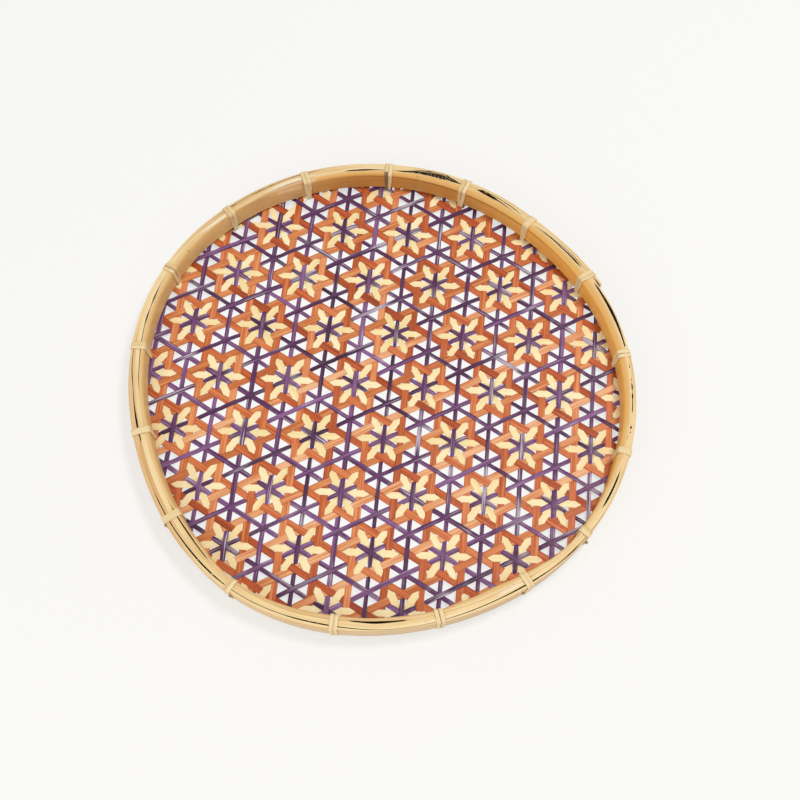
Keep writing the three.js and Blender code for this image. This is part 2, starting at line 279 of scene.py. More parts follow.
class Finish:
    """A material's node tree, built up call by call."""

    def __init__(self, name, roughness=0.45, specular=0.28):
        self.material = bpy.data.materials.new(name)
        self.material.use_nodes = True
        self.tree = self.material.node_tree
        self.shader = self.tree.nodes["Principled BSDF"]
        self.shader.inputs["Roughness"].default_value = roughness
        self.shader.inputs["Specular IOR Level"].default_value = specular

    def node(self, kind, **settings):
        made = self.tree.nodes.new("ShaderNode" + kind)
        for key, value in settings.items():
            setattr(made, key, value)
        return made

    def link(self, source, target):
        self.tree.links.new(source, target)

    def feed(self, socket, value):
        if isinstance(value, bpy.types.NodeSocket):
            self.link(value, socket)
        else:
            socket.default_value = value

    def grain(self):
        return self.node("UVMap", uv_map="Grain").outputs["UV"]

    def noise(self, vector, scale, shift=(0, 0, 0), detail=3.0, roughness=0.5):
        """Noise over a map that is stretched and shifted first."""
        mapping = self.node("Mapping")
        mapping.inputs["Scale"].default_value = scale
        mapping.inputs["Location"].default_value = shift
        self.link(vector, mapping.inputs["Vector"])
        made = self.node("TexNoise")
        self.link(mapping.outputs["Vector"], made.inputs["Vector"])
        for name, value in (("Scale", 1.0), ("Detail", detail), ("Roughness", roughness)):
            made.inputs[name].default_value = value
        return made.outputs["Fac"]

    def ramp(self, value, stops):
        made = self.node("ValToRGB")
        colours = made.color_ramp
        while len(colours.elements) < len(stops):
            colours.elements.new(0.5)
        for element, (place, colour) in zip(colours.elements, stops):
            element.position = place
            element.color = rgba(colour)
        self.feed(made.inputs["Fac"], value)
        return made.outputs["Color"]

    def mix(self, factor, first, second):
        made = self.node("Mix", data_type="RGBA")
        for index, value in ((0, factor), (6, rgba(first)), (7, rgba(second))):
            self.feed(made.inputs[index], value)
        return made.outputs[2]

    def math(self, operation, first, second=0.0):
        made = self.node("Math", operation=operation)
        self.feed(made.inputs[0], first)
        self.feed(made.inputs[1], second)
        return made.outputs[0]

    def total(self, *parts):
        """The sum of values, each times its share."""
        shares = [self.math("MULTIPLY", value, share) for value, share in parts]
        whole = shares[0]
        for share in shares[1:]:
            whole = self.math("ADD", whole, share)
        return whole

    def piece_number(self, grain):
        parts = self.node("SeparateXYZ")
        self.link(grain, parts.inputs[0])
        return self.math("FLOOR", parts.outputs["Y"]), self.math("FRACT", parts.outputs["Y"])

    def chance(self, value, extra=0.0):
        made = self.node("TexWhiteNoise", noise_dimensions="1D")
        self.feed(made.inputs["W"], self.math("ADD", value, extra))
        return made.outputs["Value"]

    def attribute(self, name):
        return self.node("Attribute", attribute_name=name).outputs["Fac"]

    def height(self):
        parts = self.node("SeparateXYZ")
        self.link(self.node("TexCoord").outputs["Object"], parts.inputs[0])
        return parts.outputs["Z"]

    def bump(self, height, strength, distance):
        made = self.node("Bump")
        made.inputs["Strength"].default_value = strength
        made.inputs["Distance"].default_value = distance
        self.link(height, made.inputs["Height"])
        self.link(made.outputs["Normal"], self.shader.inputs["Normal"])

    def colour(self, socket):
        self.link(socket, self.shader.inputs["Base Color"])


def srgb(code):
    channels = [int(code[i : i + 2], 16) / 255 for i in (1, 3, 5)]
    return [c / 12.92 if c <= 0.04045 else ((c + 0.055) / 1.055) ** 2.4 for c in channels] + [1]


def rgba(colour):
    """A colour for a socket, from a code or a share of white. Anything else is ready as it is."""
    if isinstance(colour, float):
        return (colour, colour, colour, 1)
    return srgb(colour) if isinstance(colour, str) else colour


def strip_finish(name, width, pale, middle, deep, sheen_and_worn_colour=None, sheen_and_wear_share=0.0, roughness=0.45):
    """Split bamboo: fine fibres along the strip, each strip of its own shade, some of them streaked pale:
    partly rubbed with use, partly painted sheen.
    """
    finish = Finish(name, roughness)
    grain = finish.grain()
    number, across = finish.piece_number(grain)
    fine = finish.noise(grain, (45, 2600, 1), detail=2, roughness=0.6)
    broad = finish.noise(grain, (14, 620, 1), roughness=0.55)
    length = finish.noise(grain, (22, 9, 1), detail=2)
    shade = finish.total((broad, 0.7), (fine, 0.35), (length, 0.4), (finish.chance(number), 0.24))
    colour = finish.ramp(shade, [(0.6, deep), (0.84, middle), (1.0, pale)])
    if sheen_and_worn_colour:
        # Pale silvery streaks along the strips: partly rubbed with use, partly painted sheen.
        streak = finish.noise(grain, (12, 1100, 1), (7, 3, 0), roughness=0.65)
        place = finish.noise(grain, (30, 11, 1), (1, 9, 0), detail=1)
        amount = finish.total((streak, 0.8), (place, 0.5), (finish.chance(number, 31.7), sheen_and_wear_share))
        colour = finish.mix(finish.ramp(amount, [(0.75, 0.0), (0.85, 0.75)]), colour, sheen_and_worn_colour)
    # Darker towards each strip's edges: painted shade, for the shadows between neighbouring strips.
    edge = finish.math("MULTIPLY", finish.math("ABSOLUTE", finish.math("SUBTRACT", across, 0.5)), 2 / width)
    colour = finish.mix(finish.ramp(edge, [(0.72, 0.0), (1.0, 0.6)]), colour, deep)
    finish.colour(colour)
    finish.bump(finish.math("ADD", fine, broad), 0.35, 0.0002)
    return finish.material


def hoop_finish(name, pale, middle, deep, stain, roughness=0.42, wall=None):
    """Bamboo hoop: long fibres, painted highlights, dark flecks of stain, and faces inside the grooves
    painted dark as shade. wall gives the light and deep shades of the face below the top edge, tan, gold,
    brown and pink: more saturated than the top, partly the bamboo's tone and partly painted light lifting the
    wall's shade, the brown also partly painted shade. A thin line along the crease and the deeper tan of the
    near outer face are painted shade. Attributes of the mesh say where each lies, where the painted
    highlights lie and where ends are pale."""
    finish = Finish(name, roughness)
    grain = finish.grain()
    fine = finish.noise(grain, (14, 2200, 1), roughness=0.6)
    broad = finish.noise(grain, (5, 300, 1))
    length = finish.noise(grain, (11, 3, 1))
    shade = finish.total((broad, 0.4), (fine, 0.3), (length, 0.4))
    colour = finish.ramp(shade, [(0.42, deep), (0.55, middle), (0.7, pale)])
    if wall:
        tan, gold, brown, pink = (
            finish.mix(finish.ramp(shade, [(0.42, 1.0), (0.7, 0.0)]), face, edge) for face, edge in wall)
        colour = finish.mix(finish.attribute("Gilt"), colour, "#e1af66")
        face = tan
        for place, shade_there in (("Right", gold), ("Far", brown), ("Pink", pink)):
            face = finish.mix(finish.attribute(place), face, shade_there)
        height = finish.math("MULTIPLY", finish.height(), 40)
        # The face below the top edge takes the wall colours: partly the bamboo's tone, partly painted light
        # and shade.
        colour = finish.mix(finish.ramp(height, [(0.812, 0.0), (0.874, 1.0)]), face, colour)
        # A thin dark line along the crease below the top edge: painted shade.
        crease = finish.ramp(height, [(0.752, 0.0), (0.764, 1.0), (0.778, 1.0), (0.79, 0.0)])
        colour = finish.mix(finish.math("MULTIPLY", crease, finish.attribute("Crease")), colour, "#7a4a20")
    # The outer face deepened to tan: on the near side painted shade, where it turns from the light; on two
    # far left stretches the bamboo's own tone.
    colour = finish.mix(finish.attribute("Skin"), colour, "#cf9a62")
    fleck = finish.noise(grain, (60, 900, 1), (3, 5, 0), roughness=0.65)
    colour = finish.mix(finish.ramp(fleck, [(0.66, 0.0), (0.74, 0.75)]), colour, stain)
    # Painted highlights on the tops of the turns, and the own pale colour of the standing ends.
    colour = finish.mix(finish.attribute("HighlightAndPale"), colour, "#fff8ea")
    # Faces inside open grooves and the tie tips are painted dark as shade; the dark stain on one tie is real
    # and shares this mark.
    groove = finish.attribute("ShadeAndStain")
    colour = finish.mix(finish.ramp(groove, [(0.25, 0.0), (0.9, 0.92)]), colour, "#4a2f16")
    finish.colour(colour)
    finish.bump(finish.math("ADD", fine, broad), 0.3, 0.0004)
    return finish.material


# Properties

SHADE_NAMES = ("pale", "middle", "deep")
SHADES = {
    # The three orange sets are one dye, each made paler or deeper for its direction: painted sheen, for how
    # each direction's fibres catch the light.
    "orange_upright": ("#ea9a64", "#d06e3a", "#a34822"),
    "orange_rising": ("#f2ba8c", "#dc8850", "#b65c2e"),
    "orange_falling": ("#de8450", "#c45d2e", "#963f1e"),
    "purple": ("#8f6292", "#633661", "#3d213a"),
    "yellow": ("#ffeec2", "#fde8b4", "#f5da9c"),
    "inner_hoop": ("#f6e2b6", "#ecce98", "#cfa468"),
    "shaved_end": ("#ecc79c", "#dfb583", "#c8986a"),
    "outer_hoop": ("#fae6ba", "#f2d49c", "#d8ad70"),
    "ties": ("#f7e2b6", "#edd3a0", "#d6ae74"),
    # The turned-up strip ends are near black: painted shade for the dark gap between the hoops.
    "strip_ends": ("#5a3a24", "#3c2616", "#22140a"),
}


def millimetres(name, description, default):
    return bpy.props.FloatProperty(
        name=name, description=description, default=default * MM, unit="LENGTH", precision=5)


class WeaveProperties(bpy.types.PropertyGroup):
    """Sizes of the woven strips."""

    orange_width: millimetres("Orange width", "Width of the ground strips", 5.5)
    purple_width: millimetres("Purple width", "Width of the purple strips", 3.6)
    yellow_width: millimetres("Yellow width", "Width of the petal strips", 5.4)
    thickness: millimetres("Thickness", "Thickness of a strip", 0.33)
    layer: millimetres("Layer", "Rise from one crossing strip to the next", 0.4)
    looseness: millimetres("Looseness", "How far a strip may lie off its line", 0.45)


class RimProperties(bpy.types.PropertyGroup):
    """Sizes of the hoops and ties."""

    wrap_width: millimetres("Wrap width", "Width of one rattan wrap", 3.0)
    wrap_thickness: millimetres("Wrap thickness", "Thickness of one rattan wrap", 0.8)
    rounding: millimetres("Rounding", "Rounding of the outer hoop's edges", 0.8)


class ColourProperties(bpy.types.PropertyGroup):
    """The pale, the middle and the deep shade of each finish."""

    __annotations__ = {
        f"{part}_{shade}": bpy.props.FloatVectorProperty(
            name=f"{part} {shade}".replace("_", " ").capitalize(), default=srgb(code)[:3], subtype="COLOR",
            description=f"The {shade} shade of this finish", min=0, max=1)
        for part, codes in SHADES.items() for shade, code in zip(SHADE_NAMES, codes)}

    def shades(self, part):
        return [(*getattr(self, f"{part}_{shade}"), 1) for shade in SHADE_NAMES]


class StageProperties(bpy.types.PropertyGroup):
    """The camera."""

    elevation: bpy.props.FloatProperty(
        name="Elevation", description="Height of the view above the floor", default=math.radians(65),
        subtype="ANGLE")
    distance: bpy.props.FloatProperty(
        name="Distance", description="From the camera to the tray", default=1.086, unit="LENGTH")
    target: bpy.props.FloatVectorProperty(
        name="Target", description="What the camera looks at", default=(0.01518, -0.01052, 0.004),
        subtype="TRANSLATION")
    lens: bpy.props.FloatProperty(name="Lens", description="Focal length", default=61.7, unit="CAMERA")


# The weave

# Moves of a strip at its crossings: place along one period, half length moved, layers up, fade, part of width
WHOLE, EDGES, QUARTERS, CENTRE = "whole", "edges", "quarters", "centre"
ORANGE_MOVES = [(0.0, 4.4, 0.5, 3.4, WHOLE), (0.5, 4.4, -0.5, 3.4, WHOLE)]
YELLOW_MOVES = [
    (0.25, 2.6, 1.0, 2.6, WHOLE), (0.75, 2.6, 1.0, 2.6, WHOLE), (0.5, 9.9, -1.6, 0.6, EDGES),
    (0.5, 7.7, -1.6, 0.6, QUARTERS), (0.5, 5.5, -1.6, 0.6, CENTRE)]
PURPLE_MOVES = [
    (0.0, 8.0, 1.0, 3.8, WHOLE), (1 / 6, 3.9, -1.5, 3.8, WHOLE), (1 / 2, 3.9, 1.5, 4.5, WHOLE),
    (5 / 6, 3.9, -1.5, 3.8, WHOLE)]


def strip_stock(name, width, period, moves, props, column, rows):
    """One strip lying along X, long enough for the widest place, raised and lowered at its crossings."""
    deselect()
    columns = 2 * round(period / column / 2)
    bpy.ops.mesh.primitive_grid_add(x_subdivisions=columns, y_subdivisions=rows, size=1)
    stock = bpy.context.object
    stock.name = name
    edit(stock)
    bpy.ops.transform.resize(value=(period * MM, width, 1))
    bpy.ops.transform.translate(value=(period * MM / 2, 0, 0))
    slant_columns(stock, width, period, moves)
    for at, reach, layers, fade, part in moves:
        if layers == 0:
            continue
        middles = [at * period * MM] + ([period * MM] if at == 0 else [])
        hide_columns(stock, width, part)
        pick(stock, lambda spot, _: min(abs(spot.x - m) for m in middles) <= reach * MM)
        bpy.ops.transform.translate(
            value=(0, 0, layers * props.layer), use_proportional_edit=True,
            proportional_edit_falloff="SMOOTH", proportional_size=fade * MM)
        bpy.ops.mesh.reveal(select=False)
    pick(stock, lambda spot, _: abs(spot.y) < width * 0.3)
    bpy.ops.transform.translate(value=(0, 0, 0.1 * props.layer))
    bpy.ops.object.mode_set(mode="OBJECT")
    repeats = 2 * math.ceil(250 / period)
    apply_modifier(
        stock, "ARRAY", count=repeats, use_relative_offset=False, use_constant_offset=True,
        constant_offset_displace=(period * MM, 0, 0), use_merge_vertices=True, merge_threshold=1e-6)
    edit(stock)
    bpy.ops.transform.translate(value=(-repeats / 2 * period * MM, 0, 0))
    bpy.ops.object.mode_set(mode="OBJECT")
    lay_grain(stock, 0, lambda spots: spots[:, 1])
    apply_modifier(stock, "SOLIDIFY", thickness=props.thickness, offset=0)
    return stock


def slant_columns(stock, width, period, moves):
    """Slides the rows of a strip along it, so that its columns lie along the slanting line of a dive."""
    for at, reach, _, _, part in moves:
        if part == WHOLE:
            continue
        middle = at * period * MM
        hide_columns(stock, width, part)
        pick(stock, lambda spot, _: abs(spot.x - middle) <= 8 * MM)
        bpy.ops.transform.resize(
            value=(reach / 7.7, 1, 1), center_override=(middle, 0, 0), use_proportional_edit=True,
            proportional_edit_falloff="SMOOTH", proportional_size=12 * MM)
        bpy.ops.mesh.reveal(select=False)


def hide_columns(stock, width, part):
    """Hides the part of a strip's width that the next move leaves alone."""
    if part == WHOLE:
        return
    place = {EDGES: 0.5, QUARTERS: 0.25, CENTRE: 0.0}[part] * width
    pick(stock, lambda spot, _: abs(abs(spot.y) - place) > width * 0.1)
    bpy.ops.mesh.hide(unselected=False)


def bowed(spots):
    """The strips bow together a little, as hand-laid strips do."""
    flat = spots[:, :2] / 0.2
    x, y = flat[:, 0], flat[:, 1]
    moved = spots.copy()
    moved[:, 0] += (1.5 - 2.5 * x * x - 2.1 * x * y + y * y) * MM
    moved[:, 1] += (y * y - 3.6 * x * y) * MM
    return moved


def weave_family(name, width, heading, phase, period, key, moves, props, seed, grid=(1.1, 3), spread=0.06):
    """All strips of one colour and heading. key gives where on a strip, by its number and how far off the key
    flower it runs, its pattern starts. spread is how much the strips differ in width."""
    chance = random.Random(seed)
    ahead, side = ways(heading)
    pitch = pitch_of(heading)
    stock = strip_stock(name + "_stock", width, period, moves, props, *grid)
    strips = []
    for number in range(-14, 15):
        offset = (number + phase) * pitch
        start = FLOWER_AT + side * offset
        slip = chance.uniform(-1, 1) * props.looseness / MM
        turn = chance.uniform(-1, 1) * STRIP_TURN
        sway, swing = chance.uniform(0.1, 0.45), chance.uniform(0, 6.3)
        girth = 1 + chance.uniform(-spread, spread)
        closest = start - ahead * float(start @ ahead)
        if math.hypot(*closest) > OUTERMOST_STRIP:
            continue
        forth = rim_reach(closest, ahead)
        rear = rim_reach(closest, -ahead)
        strip = copy_of(stock)
        lay_number(strip, number + 20)
        pattern_start = key(number, offset)
        spots = places(strip)
        along = spots[:, 0] / MM
        spots[:, 1] *= girth
        ahead_of_flower = float(closest @ ahead) - float(FLOWER_AT @ ahead)
        middle = pattern_start + round((ahead_of_flower - pattern_start) / period) * period
        across = slip + (along + middle) * turn + sway * np.sin((along + middle) / STRIP_WAVE + swing)
        base = FLOWER_AT + ahead * middle + side * offset
        flat = base + along[:, None] * ahead + (spots[:, 1:2] / MM + across[:, None]) * side
        placed = np.concatenate([flat, spots[:, 2:] / MM + MAT_MIDDLE], -1)
        put(strip, bowed(placed * MM) + TRAY_SHIFT * MM)
        for reach, way in ((forth, ahead), (rear, -ahead)):
            trim_at_rim(strip, closest + way * reach)
        strips.append(strip)
    bpy.data.objects.remove(stock)
    return joined(strips, name)


def lay_number(piece, number):
    layer = piece.data.uv_layers["Grain"]
    flat = np.empty(len(layer.data) * 2, np.float32)
    layer.data.foreach_get("uv", flat)
    flat[1::2] += number
    layer.data.foreach_set("uv", flat)


def trim_at_rim(strip, point):
    """Cuts a strip off along the rim where it meets the outer hoop."""
    degrees = math.degrees(math.atan2(point[1], point[0]))
    _, outward, _ = rim_frame(degrees)
    spot = (np.array([*point, 0]) + TRAY_SHIFT) * MM
    edit(strip)
    bpy.ops.mesh.bisect(
        plane_co=tuple(spot), plane_no=(outward[0], outward[1], 0), clear_outer=True, use_fill=True)
    bpy.ops.object.mode_set(mode="OBJECT")


def ways(heading):
    """The level directions along a heading and square to it."""
    ahead = heading / np.hypot(*heading)
    return ahead, np.array([-ahead[1], ahead[0]])


def meeting(heading, offset, other, other_offset):
    """How far along a strip it meets a strip of another heading, counted from the key flower."""
    ahead, side = ways(heading)
    _, other_side = ways(other)
    return (other_offset - offset * float(side @ other_side)) / float(ahead @ other_side)


def flower_key(heading, step):
    """The key for strips that run through flowers: each row of flowers lies one step from the last."""
    ahead, side = ways(heading)
    turns = round(float(step @ side) / pitch_of(heading))
    return lambda number, _: float(step @ ahead) * number * turns


def lap_key(heading, under):
    """The key for strips whose pattern starts midway between two strips of another heading."""
    return lambda _, offset: meeting(heading, offset, under, 0.5 * pitch_of(under))


def pitch_of(heading):
    """How far apart the strips of one heading run."""
    cell = abs(ACROSS[0] * DOWN[1] - ACROSS[1] * DOWN[0])
    return cell / float(np.hypot(*heading))


class WeaveOrangeStrips(bpy.types.Operator):
    """Weave the three directions of orange ground strips"""

    bl_idname = "bamboo_tray.orange_strips"
    bl_label = "Orange Strips"

    def execute(self, context):
        props, colours = context.scene.tray_weave, context.scene.tray_colours
        families = {"upright": (UPRIGHT, FALLING), "falling": (FALLING, RISING), "rising": (RISING, UPRIGHT)}
        for index, (name, (heading, under)) in enumerate(families.items()):
            strips = weave_family(
                f"orange_strips_{name}_woven", props.orange_width, heading, 0.5,
                2 * float(np.hypot(*heading)) / 6, lap_key(heading, under), ORANGE_MOVES, props, seed=index)
            # Each direction's orange shades are partly painted sheen.
            strips.data.materials.append(strip_finish(
                f"orange_{name}", props.orange_width, *colours.shades(f"orange_{name}"), roughness=0.42))
            finish_piece(strips, [f"orange_strips_{name}"])
        return {"FINISHED"}


class WeavePurpleStrips(bpy.types.Operator):
    """Weave the three directions of purple strips through the middles of the hexagons"""

    bl_idname = "bamboo_tray.purple_strips"
    bl_label = "Purple Strips"

    def execute(self, context):
        props, colours = context.scene.tray_weave, context.scene.tray_colours
        families = {
            # heading, sideways flower step, layers up over a flower, layers up over an open hexagon
            "upright": (UPRIGHT, DOWN, 2.0, -1.0),
            "falling": (FALLING, ACROSS, 1.0, 0.0),
            "rising": (RISING, ACROSS, 0.0, 1.0),
        }
        for index, (name, (heading, step, flower, hexagon)) in enumerate(families.items()):
            period = float(np.hypot(*heading))
            extra = [
                (0.0, 2.7, flower, 5.0, WHOLE), (1 / 3, 2.7, hexagon, 5.0, WHOLE),
                (2 / 3, 2.7, hexagon, 5.0, WHOLE)]
            strips = weave_family(
                f"purple_strips_{name}_woven", props.purple_width, heading, 0.0, period,
                flower_key(heading, step), PURPLE_MOVES + extra, props, seed=10 + index, spread=0.13)
            strips.data.materials.append(strip_finish(
                f"purple_{name}", props.purple_width, *colours.shades("purple"), sheen_and_worn_colour="#e2d6e2", sheen_and_wear_share=0.08,
                roughness=0.36))
            finish_piece(strips, [f"purple_strips_{name}"])
        return {"FINISHED"}


class WeaveYellowStrips(bpy.types.Operator):
    """Weave the three directions of natural strips that surface as petals"""

    bl_idname = "bamboo_tray.yellow_strips"
    bl_label = "Yellow Strips"

    def execute(self, context):
        props, colours = context.scene.tray_weave, context.scene.tray_colours
        families = {
            # heading, sideways flower step, layers up over a flower
            "across": (ACROSS, DOWN, 1.0),
            "rising": (BACK, ACROSS, 0.0),
            "falling": (DOWN, ACROSS, -1.0),
        }
        for index, (name, (heading, step, flower)) in enumerate(families.items()):
            period = float(np.hypot(*heading))
            moves = [(0.0, 4.9, flower - 1.0, 3.2, WHOLE)] + YELLOW_MOVES
            strips = weave_family(
                f"yellow_strips_{name}_woven", props.yellow_width, heading, 0.0, period,
                flower_key(heading, step), moves, props, seed=20 + index, grid=(0.85, 4))
            strips.data.materials.append(
                strip_finish(f"yellow_{name}", props.yellow_width, *colours.shades("yellow")))
            finish_piece(strips, [f"yellow_strips_{name}"])
        return {"FINISHED"}


# The rim


def straight_stock(name, length, thickness, height, rounding, cuts):
    """A straight split of bamboo along X, rounded along its edges and cut into short lengths for bending.
    rounding gives how far its outer, its inner and its inner top edge are rounded."""
    stock = block(length, thickness, height)
    stock.name = name
    outer, inner, inner_top = rounding
    edges = (
        (inner_top, 5, lambda spot: spot.y > thickness * 0.49 and spot.z > height * 0.49),
        (inner, 3, lambda spot: spot.y > thickness * 0.49 and spot.z < -height * 0.49),
        (outer, 3, lambda spot: spot.y < -thickness * 0.49 and abs(spot.z) > height * 0.49))
    for amount, segments, wanted in edges:
        pick(stock, lambda spot, ahead: abs(ahead.x) > 0.98 and wanted(spot), "EDGE")
        bpy.ops.mesh.bevel(offset=amount * MM, segments=segments, affect="EDGES")
    for _ in range(2):
        pick(stock, lambda _, ahead: abs(ahead.x) > 0.98, "EDGE")
        bpy.ops.mesh.subdivide(number_cuts=cuts)
    bpy.ops.object.mode_set(mode="OBJECT")
    return stock


def bend_round_rim(stock, start, end, outer, inner, bottom, top, gaps=(None, None)):
    """Bends straight stock round the rim. outer and inner give its faces' depths at an angle, gaps how wide
    the grooves beside them open at the top, and top its height."""
    spots = places(stock)
    low, high = spots.min(0), spots.max(0)
    part = (spots - low) / (high - low)
    degrees = start + (end - start) * part[:, 0]
    outside, inside = outer(degrees), inner(degrees)
    shade = np.zeros(len(spots))
    for gap, away, way in ((gaps[0], part[:, 1], 1), (gaps[1], 1 - part[:, 1], -1)):
        if gap is None:
            continue
        opening = gap(degrees)
        if way > 0:
            outside = outside + opening / 2 * part[:, 2]
        else:
            inside = inside - opening / 2 * part[:, 2]
        # Faces beside an open gap between turns are marked dark: painted shade inside the grooves.
        near = 1 - smoothstep(away * (high - low)[1] / MM, 0.0, 0.17)
        shade = np.maximum(shade, near * smoothstep(opening, 0.1, 0.55))
    depth = outside + part[:, 1] * (inside - outside)
    if callable(top):
        top = top(degrees, part[:, 1])
    put(stock, rim_place(degrees, depth, bottom + part[:, 2] * (top - bottom)))
    tint(stock, "ShadeAndStain", shade)
    face_out(stock)
    return degrees


def measured(piece):
    """The angle, the level depth in from the outline and the height of each vertex."""
    spots = places(piece) / MM - TRAY_SHIFT
    degrees = np.degrees(np.arctan2(spots[:, 1], spots[:, 0]))
    point, outward, _ = rim_frame(degrees)
    return degrees, np.sum((point - spots[:, :2]) * outward, axis=1), spots[:, 2]


def tint(piece, name, values):
    attribute = piece.data.attributes.get(name) or piece.data.attributes.new(name, "FLOAT", "POINT")
    attribute.data.foreach_set("value", np.asarray(values, np.float32))


def face_out(piece):
    edit(piece)
    bpy.ops.mesh.normals_make_consistent(inside=False)
    bpy.ops.object.mode_set(mode="OBJECT")


def strand(name, angles, faces, gaps, heights, rounding, number):
    """One turn of split bamboo between two lines of the bundle."""
    start, end = angles
    bottom, top = heights
    length = math.radians(end - start) * RIM_RADIUS * MM
    stock = straight_stock(name, length, 3.4 * MM, (INNER_HOOP_TOP - bottom) * MM, rounding, 23)
    lay_grain(stock, number, lambda spots: spots[:, 1] + spots[:, 2])
    degrees = bend_round_rim(stock, start, end, *faces, bottom, top, gaps)
    # Painted highlights at the listed places on this turn.
    spots = PAINTED_HIGHLIGHTS.get(name, ())
    tint(stock, "HighlightAndPale", 0.45 * sum((bump(degrees, *spot) for spot in spots), np.zeros_like(degrees)))
    return stock


def bump(degrees, middle, reach):
    """1 at an angle, falling off to 0 at a reach from it."""
    away = np.abs(np.mod(np.asarray(degrees, float) - middle + 180, 360) - 180)
    return 1 - smoothstep(away, 0.3 * reach, reach)


def line_round_rim(*knots):
    """A smooth closed line through a few (angle, value) knots."""
    xs, ys = np.array(knots, float).T
    xs = np.concatenate([xs - 360, xs, xs + 360])
    ys = np.tile(ys, 3)

    def value(degrees):
        degrees = np.mod(np.asarray(degrees, float), 360)
        place = np.clip(np.searchsorted(xs, degrees) - 1, 0, len(xs) - 2)
        t = np.clip((degrees - xs[place]) / (xs[place + 1] - xs[place]), 0, 1)
        return ys[place] + (ys[place + 1] - ys[place]) * t * t * (3 - 2 * t)

    return value


# The bundle of hoops as it lies: its outermost face, the grooves between its turns, the openings of the
# grooves, and its inmost face, each as depths in from the outline at a few angles
outside_line = line_round_rim(
    (0, 0.1), (20, 0.4), (25.5, 0.9), (25.6, -2.3), (34, -1.3), (42, 0), (50, 0.2), (60, -0.8), (76, -0.8),
    (85, 0))
outer_groove = line_round_rim(
    (0, 0.1), (20, 0.4), (25.5, 0.9), (25.6, 0.3), (34, 2.3), (45, 4.5), (52, 4.3), (57, 2.9), (61, 2),
    (67, 1.5), (75, 0.4), (84, 1.6), (97, 0.4), (108, 1.4), (119, 2.4), (129, 2.4), (140, 0.3), (165, 0.2),
    (175, 2.4), (184, 4.1), (193, 4.6), (195.5, 5.2), (198, 2.5), (208, 3.3), (222, 3.8), (239, 2.8),
    (256, 3.2), (274, 0.9), (299, 2.8), (317, 1.2), (330, 0.2))
outer_gap = line_round_rim(
    (25.5, 0), (25.7, 1.3), (29, 0), (34, 0.5), (44, 0.5), (49, -0.2), (56, 0.8), (60, 0.6), (66, -0.2),
    (100, -0.2), (108, 0.5), (116, 0.4), (116.7, 0.9), (117.4, 0.4), (120, 0.8), (122, 0.4), (126, 0.4),
    (127, 0.9), (128, 0.4), (139, 0.2), (142, -0.3), (165, -0.3), (174, 0.5), (179, 0.7), (182, 0.4),
    (186, 0.6), (191, 1.4), (195, 0.8), (197, 0), (208, 0.2), (212, 0.6), (220, 0.7), (227, 1.1),
    (231, 1.1), (238, 0.4), (250, 0.4), (253, 0.8), (258, 0.9), (264, 0.5), (272, 0.3), (281, 0.3),
    (295, 0.5), (303, 1), (306, 0.9), (310, 0.4), (313, 0.5), (316, 0.8), (318, 0.3), (330, 0))
inner_groove = line_round_rim(
    (0, 3.1), (12, 2.8), (27, 3.1), (35, 4.5), (40, 5.1), (50, 6.1), (55, 5.9), (60, 4.9), (64, 4),
    (70, 5), (75, 4), (80, 4.8), (85, 6.3), (90, 6.6), (95, 6.7), (100, 6.8), (112, 7.4), (124, 8.9),
    (132, 8), (141, 5.2), (150, 5.1), (162, 6.5), (178, 8.3), (192, 9.9), (205, 10.1), (221, 10.5),
    (233, 8.6), (250, 7.6), (263, 7.6), (270, 6.5), (277, 6.4), (285, 6.9), (300, 7.2), (318, 4.4),
    (332, 4.1), (346, 3.8), (350, 3.4))
inner_gap = line_round_rim(
    (0.4, 0.5), (1, -0.5), (2.8, -0.5), (3.5, 1), (4.2, -0.5), (7.5, -0.5), (9, 0.8), (18, 1.7), (25, 1.1),
    (28, -0.4), (31, 0.1), (34, 1.1), (39, 0.9), (46, 0.5), (50, 0), (54, 0.3), (59, 0.8), (61, 1.9),
    (63.5, 2.4), (66, 0), (69, 0.3), (72, 2.2), (75, 4.6), (80, 3.2), (84, 1.8), (87, 0.4), (89.5, 0.9),
    (94, 2), (97.5, 1.6), (100, -0.5), (108, -0.2), (110, 0.7), (120, 0.6), (128, 0.5), (140, 0.45),
    (150, 0.35), (154, 0.5), (158, 1.3), (160.5, 0.6), (163.5, 1.3), (166, 0.6), (178, 0.6), (190, -0.2),
    (212, -0.1), (216, 0.7), (221, 1), (228, 0.6), (231, -0.5), (262, -0.5), (266, 0.9), (270, 1.6),
    (275, 0.9), (278, -0.5), (293, -0.5), (296, 0), (299, -0.5), (326, -0.3), (330, 0.9), (335, 0.8),
    (338, 0.1), (342, -0.3), (346.7, -0.5), (347.2, 1.2), (347.7, -0.4), (348.3, 1.2), (348.9, -0.5),
    (351, -0.3), (352.5, 0.5), (355, 0.4), (356, 0.9), (357, 0.2), (358.5, 0.9), (359.3, 0.1))
last_turn_width = line_round_rim(
    (46, 0), (68, 0), (76, 0.3), (84, 0.5), (90, 2.4), (124, 3.4), (141, 2.1), (175, 3), (200, 4),
    (226, 3.4), (250, 2.8), (300, 2.4), (312, 0), (360, 0))
inside_line = line_round_rim(
    (5, 9.2), (15, 9.9), (28, 10.7), (40, 11.3), (60, 11.4), (108, 11.4), (124, 9.6), (140, 8.9),
    (155, 9.6), (170, 10.8), (180, 11.5), (195, 13), (216, 13.4), (225.5, 12.9), (230.5, 10.9), (235, 9.8),
    (242, 9.5), (251, 10.4), (260, 11.1), (270, 10.1), (284, 9.9), (290, 11.3), (297, 12.6), (303, 11.1),
    (308, 9.5), (312, 7.8), (317, 7.1), (321, 7.9), (327, 8.4), (342, 9.4), (355, 9.2))
